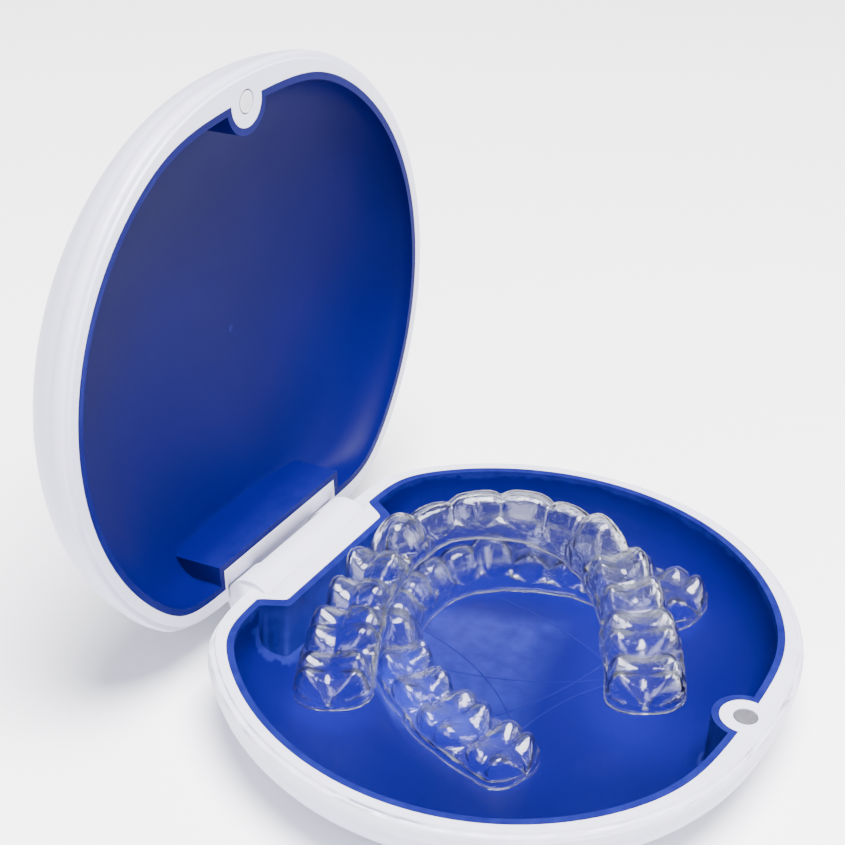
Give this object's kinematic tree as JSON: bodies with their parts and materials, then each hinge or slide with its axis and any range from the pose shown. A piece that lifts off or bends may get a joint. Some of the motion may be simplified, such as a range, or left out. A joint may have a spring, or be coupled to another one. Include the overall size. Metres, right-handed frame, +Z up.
{
  "type": "dental tray case",
  "caption": "Oval hinged magnetic case with lined halves, holding a pair of clear thin-walled dental trays.",
  "frame": {"origin": "centre of the base's flat foot", "axes": "+Z up out of the base, X along the hinge, -Y towards the magnet side"},
  "size_m": [0.0922, 0.101, 0.0855],
  "materials": {
    "white_shell": "moulded white plastic, satin gloss",
    "blue_liner": "moulded royal blue plastic, satin",
    "magnet_metal": "nickel-plated disc",
    "pin_steel": "plain steel pin",
    "clear_tray": "clear thermoformed sheet, glossy"
  },
  "bodies": {
    "base": {"base_shell": "white_shell", "base_liner": "blue_liner", "base_magnet": "magnet_metal", "hinge_pin": "pin_steel"},
    "lid": {"lid_shell": "white_shell", "lid_liner": "blue_liner", "lid_magnet": "magnet_metal"},
    "lower": {"lower_tray": "clear_tray"},
    "upper": {"upper_tray": "clear_tray"}
  },
  "joints": [
    {"name": "lid_hinge", "type": "hinge", "parent": "base", "child": "lid", "pos_m": [0, 0.0351, 0.00984], "axis": [1, 0, 0], "range_deg": [0, 97]},
    {"name": "lower_tray_lift", "type": "slide", "parent": "base", "child": "lower", "axis": [0, 0, 1], "range_m": [0, 0.045]},
    {"name": "upper_tray_lift", "type": "slide", "parent": "lower", "child": "upper", "axis": [0, 0, 1], "range_m": [0, 0.03]}
  ]
}
